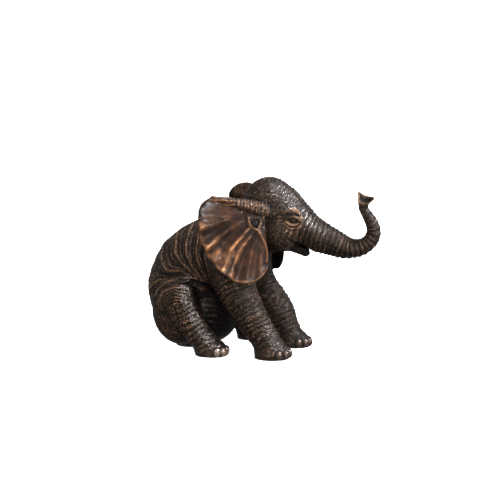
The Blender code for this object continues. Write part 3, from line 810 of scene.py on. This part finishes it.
flankShape, onFlank = flankRelief()
thighShape, onThigh = thighRelief()
relief += (flankShape * (1 - 0.8 * onThigh) + thighShape) * plainSkin
print("flanks and thighs folded")

legSkin = {"pitch": 3.7, "height": 0.8, "net": 1.75, "netHeight": 0.42}
onLeg, legShape = np.zeros(count), np.zeros(count)
for seed, (name, rows) in enumerate(legs.items()):
    # creases round the leg that break and join, over a net of small pads stretched round it
    place, away = along(points, curveThrough(rows, 8), 22)
    on = (1 - rise(away, 1.2, 1.5)) * rise(place, 8, 20)
    if "Hind" in name:
        on = on * (1 - rise(points[:, 2], 32, 42))
    wander = 0.55 * drift(points * (1, 1, 1.5), 7, 50 + seed) + 0.2 * drift(points, 2.5, 60 + seed)
    crease = crests(place / legSkin["pitch"] + wander, 0.7) - 0.55
    legShape = np.where(on > onLeg, legSkin["height"] * crease * (0.75 + 0.5 * drift(points, 6, 70 + seed)), legShape)
    onLeg = np.maximum(onLeg, on)
toeward = 1 - 0.75 * (1 - rise(points[:, 2], 5, 11))
relief += legShape * onLeg * toeward * plainSkin

# pads of skin everywhere: small round ones on the head, wider ones on legs and body
bodyPads = cracks(points * (0.75, 1, 1.5), legSkin["net"] * 1.05, 80)
headPads = cracks(points, 1.7, 90)
finePads = cracks(points * (1.2, 1, 0.9), 1.0, 95)
onHeadSkin = rise(onFace[:, 0], -12, -4) * rise(points[:, 2], 66, 74) * (1 - onTrunk)
padShape = (rise(bodyPads, 0, 0.45) - 0.7) * (1 - onHeadSkin) * (0.8 + 0.5 * onLeg)
padShape += (rise(headPads, 0, 0.45) - 0.7) * onHeadSkin * 1.6
padShape += 0.5 * (rise(finePads, 0, 0.4) - 0.7)
chest = within(points[:, 0], -6, 34, 8) * within(points[:, 2], 44, 78, 8) * (1 - onHeadSkin)
chestFolds = crests(points[:, 1] / 3.4 + 0.05 * points[:, 0] + 0.5 * drift(points, 6, 97), 0.9) - 0.5
relief += 0.42 * chestFolds * chest * (1 - onLeg) * plainSkin
# the belly's folds hang between the legs, one below the other
belly = within(points[:, 0], -24, 12, 8) * within(points[:, 2], 8, 48, 6) * (1 - rise(np.abs(points[:, 1]), 26, 31))
hang = points[:, 2] + 0.018 * (points[:, 0] + 14) ** 2 + 1.2 * drift(points, 7, 44)
relief += 0.65 * (crests(hang / 4.2, 0.9) - 0.5) * belly * (1 - onLeg) * (1 - onFlank)


def strands(t, v, seed):
    # smooth noise drawn out from the ear's root to its rim
    fan = np.column_stack((t * 60, v * 3.5, 0 * t))
    return 0.6 * drift(fan, 1, seed) + 0.4 * drift(fan * 2.3, 1, seed + 1)


nearStrands, farStrands = strands(nearT, nearV, 5), strands(farT, farV, 7)
earSkin = 0.05 * drift(points, 1.1, 98) * onEar + 0.1 * (nearStrands * onNearEar + farStrands * onFarEar)
atCup = rise(onFace[:, 2], 102, 105) * rise(onFace[:, 0], 58, 61)
ringed = (1 - 0.7 * onTrunk) * (1 - 0.85 * calm) * (1 - 0.85 * atCup)
relief += legSkin["netHeight"] * padShape * plainSkin * ringed * (1 - 0.7 * aroundEyes) * toeward + earSkin

# nails: smooth, with a groove of skin round each
onNail, nailRim = np.zeros(count), np.zeros(count)
for spot, turn in nailSpots():
    near = np.flatnonzero(np.linalg.norm(points - spot, axis=1) < 9)
    local = (points[near] - spot) @ np.array(Matrix.Rotation(turn, 3, "Z"))
    away = np.linalg.norm(local / np.array(nails["halfSizes"]), axis=1)
    onNail[near] = np.maximum(onNail[near], 1 - rise(away, 1.0, 1.22))
    nailRim[near] = np.maximum(nailRim[near], bump(away - nails["rim"], 0.16))
relief = relief * (1 - onNail) - 0.45 * nailRim * (1 - onNail) + 0.15 * onNail
print("skin and nails worked")

# ---- sinking the relief in, and flattening the soles

points += normals * relief[:, None]
points[:, :2] -= (points[:, :2].min(axis=0) + points[:, :2].max(axis=0)) / 2
mesh.vertices.foreach_set("co", (points * mm).ravel())


def keep(name, values):
    # a share for each point of the mesh, for the material to read
    layer = mesh.attributes.new(name, "FLOAT", "POINT")
    layer.data.foreach_set("value", np.clip(values, 0, 1).astype(np.float32))


print("relief sunk in")


def spread(values, passes):
    # each point's value moved towards its neighbours', again and again
    edges = np.empty(2 * len(mesh.edges), dtype=np.int32)
    mesh.edges.foreach_get("vertices", edges)
    a, b = edges.reshape(-1, 2).T
    many = np.bincount(a, minlength=count) + np.bincount(b, minlength=count)
    values = values.reshape(count, -1).astype(float)
    for _ in range(passes):
        total = np.stack([np.bincount(a, values[b, k], count) + np.bincount(b, values[a, k], count)
                          for k in range(values.shape[1])], axis=1)
        values = 0.3 * values + 0.7 * total / many[:, None]
    return values


# how far each point stands out of the skin round it, close by and more widely
smoothed = spread(points, 5)
standing = ((points - smoothed) * normals).sum(axis=1)
smoother = spread(smoothed, 22)
standingWide = ((points - smoother) * normals).sum(axis=1)
fineCrest = rise(standing, 0.0, 0.11)
wideCrest = rise(standingWide, -0.05, 0.5)
deepness = np.maximum(rise(-standing, 0.01, 0.11), rise(-standingWide, 0.02, 0.5))


def boxed(field, reach):
    # each cell's sum with its neighbours, up to reach cells away along each axis, from running totals
    for axis in range(3):
        edges = [(reach + 1, reach) if k == axis else (0, 0) for k in range(3)]
        total = np.moveaxis(np.cumsum(np.pad(field, edges), axis=axis), axis, 0)
        field = np.moveaxis(total[2 * reach + 1:] - total[:-2 * reach - 1], 0, axis)
    return field


def shelter():
    # skin counted in boxes out along each point's normal, against what a full wall there would hold
    cell, perArea = 2.0, 3.1
    low = points.min(axis=0) - 32
    size = ((points.max(axis=0) + 32 - low) / cell).astype(int) + 1
    index = ((points - low) / cell).astype(int)
    held = np.bincount(np.ravel_multi_index(index.T, size), minlength=size.prod()).reshape(size).astype(float)
    total = np.zeros(count)
    for away, reach, weight in ((6, 1, 0.3), (12, 2, 0.35), (20, 3, 0.35)):
        wall = perArea * ((2 * reach + 1) * cell) ** 2
        spot = ((points + normals * away - low) / cell).astype(int)
        total += weight * np.clip(boxed(held, reach)[tuple(spot.T)] / wall, 0, 1)
    # painted shade: skin that faces down, low on the calf, counts as sheltered too
    ground = rise(-normals[:, 2], -0.1, 0.8) * (1 - rise(points[:, 2], 25, 75))
    return np.clip(total + 0.5 * ground, 0, 1)


# painted shade: how closed in each point is, spread a little; it darkens the colour and holds back the rubbing
shade = spread(shelter(), 6)[:, 0]

def turnedTo(forward, outward, upward):
    # how squarely the skin faces ahead, out and up by these shares
    return normals[:, 0] * forward + normals[:, 1] * np.sign(points[:, 1]) * outward + normals[:, 2] * upward


# painted glints: the fronts of the hind shins, where the skin faces halfway between the camera and the strip lamp,
# are painted pale, and a little the upper fronts of head, trunk and forelegs that face halfway between the camera and
# the window lamp
broken = 0.35 + 0.65 * rise(drift(points, 1.7, 107), -0.25, 0.3)
shinEdge = rise(turnedTo(0.68, 0.61, 0.41), 0.84, 0.99) * np.maximum(onLeg, onThigh) * (points[:, 0] < 0) * broken
openBrow = np.maximum(rise(onFace[:, 0], 6, 12), rise(onFace[:, 2], 102, 106))
upperFront = openBrow * rise(turnedTo(0.73, 0.465, 0.503), 0.8, 0.98) * broken * np.maximum.reduce(
    [0.55 * onHeadSkin, 0.75 * onTrunk * wideCrest, 0.3 * onLeg]) * (1 - aroundEyes) * plainSkin
# painted light: the cheeks and the back of the far ear are lightened, with painted shade taken off them and more
# copper given
cheek = within(onFace[:, 0], 2, 30, 8) * within(onFace[:, 2], 76, 98, 6) * rise(np.abs(onFace[:, 1]), 7, 10) * (1 - inMouth)
farRear = (onFace[:, 1] > 16) * rise(onFace[:, 2], 100, 106) * (1 - rise(np.abs(onFace[:, 0] + 14), 18, 22))
outer = np.maximum(onLeg, onThigh) * rise(normals[:, 1] * np.sign(points[:, 1]), 0.1, 0.5)
# painted shade is taken off the cheeks, the far ear's back, the outer sides of legs and thighs and the lower lip; a
# painted shadow is laid on the far legs, and painted shade on the belly between the legs
shade *= 1 - 0.8 * np.maximum.reduce([cheek, farRear, outer, 0.7 * calm * (1 - inMouth)])
shade = np.maximum.reduce([shade, 0.46 * onLeg * (points[:, 1] > 0), 0.7 * belly * (1 - onLeg)])

# how far hands have rubbed each place, less where sheltered; the cheeks and the back of the far ear get more as
# painted light
legRub = 0.7 * onLeg
wornAndLit = np.maximum.reduce([0.5 + 0 * relief, onFlank, 0.7 * onThigh, legRub, 0.75 * onRoll, temple])
wornAndLit = np.where(onTrunk > 0.3, 0.28, wornAndLit) * (1 - 0.85 * rise(shade, 0.3, 0.8)) * (1 - 0.8 * calm) * (1 - 0.8 * aroundEyes)
wornAndLit = np.maximum.reduce([wornAndLit, 0.9 * farRear, 0.75 * cheek])
wornAndLit *= 0.45 + 0.55 * rise(drift(points, 9, 101) + 0.5 * drift(points, 4, 102), -0.7, 0.6)


def earWear(ear, t, v, on, lines):
    # gold along the folds, bumps and rim of an ear, broken into streaks that run out from its root
    mottle = rise(0.6 * drift(onFace, 3, 105) + 0.5 * drift(onFace, 1.3, 106) + 0.5 * lines, -0.25, 0.5)
    total = np.maximum(0.55 * rise(v, 0.955, 0.985) * rise(t, 0.15, 0.3),
                       0.5 * mottle * within(v, 0.5, 1.1, 0.4) * within(t, 0.34, 0.48, 0.14))
    for line, _, breadth, wear in ear["folds"]:
        total = np.maximum(total, wear * foldOn(t, v, line, breadth * 0.5) * (0.15 + 0.85 * mottle))
    for place, height, breadth in ear["bumps"]:
        total = np.maximum(total, 0.8 * (height > 0) * bump(t - place, breadth) * rise(v, 0.84, 0.96))
    return on * total * (0.3 + 0.7 * rise(lines, -0.5, 0.35)), on * rise(lines, -0.1, 0.7)


nearWear, nearStreak = earWear(ears["near"], nearT, nearV, onNearEar, nearStrands)
farWear, farStreak = earWear(ears["far"], farT, farV, onFarEar, farStrands)
onCup = atCup * rise(standingWide, -0.05, 0.3) * rise(onFace[:, 2], 106.5, 109)
# copper on rubbed fine crests, with painted light on the cheeks and the far ear's back
keep("crest", fineCrest * wornAndLit * (0.3 + 0.7 * wideCrest) * (1 - onEar) * (1 - onNail))
flankWear = 0.45 * onFlank * (1 - onThigh) * rise(standingWide, 0.2, 0.6) * plainSkin * (1 - rise(shade, 0.3, 0.8))
flankWear *= (0.3 + 0.7 * fineCrest) * (0.35 + 0.65 * rise(drift(points, 4, 108), -0.35, 0.35))
hindNail = onNail * (0.1 + 0.3 * (points[:, 0] < 0))
# rubbed wear, with painted light on the back of the far ear
keep("rubAndLit", np.maximum.reduce([hindNail * wideCrest, 0.55 * brow, 0.32 * temple * fineCrest, 0.22 * farRear, flankWear, 0.45 * nearFork, 0.4 * farFork,
                               0.35 * onRoll * wideCrest, 0.4 * onCup, nearWear, 0.6 * farWear]))
# dark wax in the grooves, darker along the mouth's line; painted shade in the ear's hole, the eye's hollow and the
# mouth, a little on the lower lip, and where the skin is sheltered or faces down low; less of both on the cheeks
keep("hollow", np.maximum.reduce([deepness * (1 - 0.6 * onEar) * (1 - 0.5 * cheek), earHole, eyeHollow, inMouth, mouthLine, 0.15 * calm,
                                  0.95 * rise(shade, 0.32, 0.8)]))
keep("ear", onEar)
# painted glints on shins, head, trunk and forelegs, and polish on the hind nails
keep("glintAndPolish", np.maximum.reduce([shinEdge * fineCrest, upperFront * fineCrest, 0.7 * hindNail]))
keep("streak", np.maximum(nearStreak, farStreak))
keep("pad", (1 - onEar) * (1 - onNail) * (1 - 0.8 * aroundEyes) * (1 - 0.8 * calm) * (1 - 0.4 * onTrunk))
print("patina worked out")

work = bmesh.new()
work.from_mesh(mesh)
bmesh.ops.bisect_plane(work, geom=work.verts[:] + work.edges[:] + work.faces[:], plane_co=(0, 0, 0),
                       plane_no=(0, 0, 1), clear_inner=True)
rimEdges = [edge for edge in work.edges if edge.is_boundary]
bmesh.ops.holes_fill(work, edges=rimEdges, sides=0)
bmesh.ops.recalc_face_normals(work, faces=work.faces)
work.to_mesh(mesh)
work.free()
thin = elephant.modifiers.new("thin", "DECIMATE")
thin.ratio = 196000 / (2 * len(mesh.polygons))
elephant = settled(elephant, "elephantCalf")
elephant.data.shade_smooth()
print("soles flat,", len(elephant.data.polygons), "faces kept")


# ---- eyeballs

middle = 0.5 * (cadBox[0] + cadBox[1])


def eyeballs():
    # two balls sunk behind the lids; each sits where the eye's own axes put it
    grids = []
    for side in (-1, 1):
        place, _, out = eyeAxes(side)
        grids.append(onHead(oval(place - out * eyes["sink"], (eyes["ball"],) * 3, 28, 17)))
    return grids


# ---- finishes

# the darkest colour is dark wax and painted shade; the pale one is the colour of painted glints
bronze = {
    "waxAndShade": (0.005, 0.0045, 0.004), "skin": (0.031, 0.0198, 0.0146), "earBrown": (0.060, 0.027, 0.014),
    "copper": (0.39, 0.215, 0.12), "gold": (0.72, 0.50, 0.28), "earTint": (0.56, 0.45, 0.34), "pale": (0.62, 0.56, 0.54),
}


def nodeTree(name):
    material = bpy.data.materials.new(name)
    material.use_nodes = True
    nodes, links = material.node_tree.nodes, material.node_tree.links
    return material, nodes, links, nodes["Principled BSDF"]


def rubbedBronze():
    # dark wax in the grooves and painted shade in holes, sheltered places and undersides; brown skin; copper where
    # crests are rubbed, with more as painted light on the cheeks and the far ear's back; gold on the sharpest;
    # painted pale glints where the skin faces the lamps
    material, nodes, links, shader = nodeTree("rubbedBronze")

    def value(name):
        node = nodes.new("ShaderNodeAttribute")
        node.attribute_name = name
        return node.outputs["Fac"]

    def sum2(kind, first, second, clamp=True):
        node = nodes.new("ShaderNodeMath")
        node.operation, node.use_clamp = kind, clamp
        for socket, given in zip(node.inputs, (first, second)):
            if isinstance(given, (int, float)):
                socket.default_value = given
            else:
                links.new(given, socket)
        return node.outputs[0]

    def blend(factor, first, second):
        node = nodes.new("ShaderNodeMix")
        node.data_type = "RGBA"
        links.new(factor, node.inputs["Factor"])
        for socket, given in ((node.inputs[6], first), (node.inputs[7], second)):
            if isinstance(given, tuple):
                socket.default_value = (*given, 1)
            else:
                links.new(given, socket)
        return node.outputs[2]

    def cloud(scale, detail=4, roughness=0.55):
        place = nodes.new("ShaderNodeTexCoord")
        node = nodes.new("ShaderNodeTexNoise")
        node.inputs["Scale"].default_value = scale
        node.inputs["Detail"].default_value = detail
        node.inputs["Roughness"].default_value = roughness
        links.new(place.outputs["Object"], node.inputs["Vector"])
        return node.outputs["Fac"]

    def spanned(given, low, high, newLow=0.0, newHigh=1.0):
        node = nodes.new("ShaderNodeMapRange")
        node.clamp = True
        links.new(given, node.inputs["Value"])
        for k, number in enumerate((low, high, newLow, newHigh), 1):
            node.inputs[k].default_value = number
        return node.outputs["Result"]

    def netted(scale):
        # 0 in fine cracks, 1 on the pads between them
        place = nodes.new("ShaderNodeTexCoord")
        node = nodes.new("ShaderNodeTexVoronoi")
        node.feature = "DISTANCE_TO_EDGE"
        node.inputs["Scale"].default_value = scale
        links.new(place.outputs["Object"], node.inputs["Vector"])
        return spanned(node.outputs["Distance"], 0.02, 0.22)

    crest, rubAndLit, hollow = value("crest"), value("rubAndLit"), value("hollow")
    ear, streak, pad, glintAndPolish = value("ear"), value("streak"), value("pad"), value("glintAndPolish")
    specks = spanned(cloud(900, 3), 0.35, 0.65)
    patches = spanned(cloud(150), 0.36, 0.64)

    stain = spanned(cloud(75, 3), 0.40, 0.62)
    earTone = blend(sum2("MULTIPLY", streak, 0.6), bronze["earBrown"], tuple(1.8 * c for c in bronze["earBrown"]))
    earTone = blend(sum2("MULTIPLY", stain, 0.9), earTone, tuple(0.35 * c for c in bronze["earBrown"]))
    base = blend(ear, bronze["skin"], earTone)
    base = blend(sum2("MULTIPLY", patches, 0.55), base, tuple(0.45 * c for c in bronze["skin"]))
    net = sum2("MULTIPLY", netted(700), sum2("ADD", sum2("MULTIPLY", netted(1500), 0.5), 0.5))
    rubbedAndLit = sum2("MULTIPLY", crest, spanned(patches, 0, 1, 1.0, 0.45))
    rubbedAndLit = sum2("MULTIPLY", rubbedAndLit, spanned(sum2("MULTIPLY", pad, sum2("SUBTRACT", 1.0, net)), 0, 1, 1.0, 0.3))
    rubbedAndLit = sum2("MAXIMUM", rubbedAndLit, rubAndLit)
    rubbedAndLit = sum2("MULTIPLY", rubbedAndLit, spanned(specks, 0, 1, 0.65, 1.0))
    withCopper = blend(spanned(rubbedAndLit, 0.03, 0.58), base, bronze["copper"])
    withGold = blend(spanned(rubbedAndLit, 0.45, 1.0, 0.0, 0.85), withCopper, bronze["gold"])
    # painted highlight: the colour is blended towards a pale grey where glints are painted
    bright = blend(sum2("MULTIPLY", glintAndPolish, 0.8), withGold, bronze["pale"])
    tinted = blend(ear, bright, bronze["earTint"])
    tinted.node.blend_type = "MULTIPLY"
    # dark wax and painted shade, from the hollow value
    colour = blend(sum2("MULTIPLY", hollow, 0.92), tinted, bronze["waxAndShade"])
    links.new(colour, shader.inputs["Base Color"])

    shine = spanned(cloud(420, 3), 0.3, 0.7, 0.17, 0.34)
    shine = sum2("ADD", shine, sum2("MULTIPLY", hollow, 0.3))
    shine = sum2("ADD", shine, sum2("MULTIPLY", ear, 0.31))
    shine = sum2("SUBTRACT", shine, sum2("MULTIPLY", glintAndPolish, 0.1))
    links.new(sum2("SUBTRACT", shine, sum2("MULTIPLY", rubbedAndLit, 0.06)), shader.inputs["Roughness"])
    shader.inputs["Metallic"].default_value = 0.85
    shader.inputs["Coat Weight"].default_value = 0.12
    shader.inputs["Coat Roughness"].default_value = 0.22

    grain = nodes.new("ShaderNodeBump")
    grain.inputs["Strength"].default_value = 0.8
    grain.inputs["Distance"].default_value = 0.0005
    height = sum2("ADD", sum2("MULTIPLY", cloud(1500, 3), 0.4), sum2("MULTIPLY", cloud(420, 4), 0.5), False)
    links.new(sum2("ADD", height, sum2("MULTIPLY", sum2("MULTIPLY", net, pad), 0.8), False), grain.inputs["Height"])
    links.new(grain.outputs["Normal"], shader.inputs["Normal"])
    return material


def darkEye():
    # polished bronze, nearly black
    material, nodes, links, shader = nodeTree("darkEye")
    noise = nodes.new("ShaderNodeTexNoise")
    place = nodes.new("ShaderNodeTexCoord")
    noise.inputs["Scale"].default_value = 900
    links.new(place.outputs["Object"], noise.inputs["Vector"])
    ramp = nodes.new("ShaderNodeValToRGB")
    ramp.color_ramp.elements[0].color = (0.006, 0.005, 0.004, 1)
    ramp.color_ramp.elements[1].color = (0.03, 0.018, 0.010, 1)
    links.new(noise.outputs["Fac"], ramp.inputs["Fac"])
    links.new(ramp.outputs["Color"], shader.inputs["Base Color"])
    shader.inputs["Metallic"].default_value = 0.85
    shader.inputs["Roughness"].default_value = 0.12
    shader.inputs["Coat Weight"].default_value = 0.25
    shader.inputs["Coat Roughness"].default_value = 0.06
    return material


elephant.data.materials.clear()
elephant.data.materials.append(rubbedBronze())
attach(elephant, "root")
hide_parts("elephant")

balls = joined(eyeballs(), "eyeballs")
outward(balls.data)
shift = Vector((-19.95, 4.35, 0)) * mm
balls.data.transform(Matrix.Translation(shift))
balls.data.shade_smooth()
balls.data.materials.append(darkEye())
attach(balls, "root")
print("bronze finished")

# ---- studio

studio = {"azimuth": 25, "elevation": 6, "distance": 0.825, "lens": 85,
          "target": (1.4, 5, 62), "across": -16.55, "up": 18.0}


def aim(piece, place, target):
    piece.location = place
    piece.rotation_mode = "QUATERNION"
    piece.rotation_quaternion = (Vector(target) - Vector(place)).to_track_quat("-Z", "Y")


def camera():
    # stands off the figure at the photograph's bearing, aimed a little to the side of its middle
    a, e = math.radians(studio["azimuth"]), math.radians(studio["elevation"])
    back = Vector((math.sin(a) * math.cos(e), -math.cos(a) * math.cos(e), math.sin(e)))
    right = Vector((math.cos(a), math.sin(a), 0))
    target = (Vector(studio["target"]) + right * studio["across"] + back.cross(right) * studio["up"]) * mm
    view = bpy.data.cameras.new("view")
    view.lens = studio["lens"]
    view.sensor_width = 36
    eye = bpy.data.objects.new("view", view)
    bpy.context.scene.collection.objects.link(eye)
    aim(eye, target + back * studio["distance"], target)
    bpy.context.scene.camera = eye
    return back, right


def softLight(name, place, size, power, colour):
    lamp = bpy.data.lights.new(name, "AREA")
    lamp.shape, lamp.size, lamp.energy, lamp.color = "DISK", size, power, colour
    light = bpy.data.objects.new(name, lamp)
    bpy.context.scene.collection.objects.link(light)
    aim(light, place, (0, 0, 0.06))


back, right = camera()
upward = Vector((0, 0, 1))
softLight("window", back * 0.14 + right * 0.72 + upward * 0.66, 0.18, 9.5, (0.88, 0.93, 1.0))
softLight("softbox", back * 0.65 + right * -0.4 + upward * 0.5, 0.4, 2.3, (1.0, 0.93, 0.85))
softLight("strip", back * 0.52 + right * 0.58 + upward * 0.58, 0.1, 8.0, (0.88, 0.93, 1.0))
softLight("fill", back * 0.72 + right * 0.32 + upward * 0.02, 0.36, 2.4, (1.0, 0.95, 0.9))
softLight("topLight", back * -0.06 + right * 0.3 + upward * 1.0, 0.28, 6.0, (0.90, 0.95, 1.0))

# a pale round floor that curves up into a wall on every side, left out of the bronze's reflections
turn = np.linspace(0, 2 * np.pi, 72, endpoint=False)[None, :]
reach = np.array((0, 0.4, 0.8, 1.2, 1.6, 1.7, 1.85, 2.0, 2.12, 2.18, 2.2, 2.2))[:, None]
height = np.array((0, 0, 0, 0, 0, 0.01, 0.06, 0.16, 0.32, 0.5, 0.75, 2.6))[:, None]
bowl = np.stack((reach * np.cos(turn), reach * np.sin(turn), height - 0.0003 + 0 * turn), axis=2)
i = np.arange(11 * 72)
j = i - i % 72 + (i + 1) % 72
floorMesh = bpy.data.meshes.new("floor")
floorMesh.from_pydata(bowl.reshape(-1, 3).tolist(), [], np.stack((i, j, j + 72, i + 72), axis=1).tolist())
floorMesh.shade_smooth()
floor = placed(floorMesh, "floor")
floor.visible_glossy = False
paper, _, _, paperShader = nodeTree("paper")
paperShader.inputs["Base Color"].default_value = (0.92, 0.92, 0.92, 1)
paperShader.inputs["Roughness"].default_value = 0.9
paperShader.inputs["Emission Color"].default_value = (1, 1, 1, 1)
paperShader.inputs["Emission Strength"].default_value = 0.95
floor.data.materials.append(paper)

# dim room round the bronze, lighter overhead
world = bpy.data.worlds.new("studio")
world.use_nodes = True
nodes, links = world.node_tree.nodes, world.node_tree.links
direction, split, ramp = (nodes.new(kind) for kind in
                          ("ShaderNodeTexCoord", "ShaderNodeSeparateXYZ", "ShaderNodeValToRGB"))
links.new(direction.outputs["Generated"], split.inputs["Vector"])
lift = nodes.new("ShaderNodeMapRange")
lift.inputs["From Min"].default_value = -1
links.new(split.outputs["Z"], lift.inputs["Value"])
links.new(lift.outputs["Result"], ramp.inputs["Fac"])
ramp.color_ramp.elements[0].color = (0.1, 0.1, 0.1, 1)
ramp.color_ramp.elements[1].color = (0.45, 0.46, 0.48, 1)
for place, grey in ((0.42, 0.26), (0.54, 0.48), (0.7, 0.34)):
    ramp.color_ramp.elements.new(place).color = (grey, grey * 0.98, grey * 0.95, 1)
links.new(ramp.outputs["Color"], nodes["Background"].inputs["Color"])
bpy.context.scene.world = world
bpy.context.scene.view_settings.view_transform = "Standard"

print("scene ready")
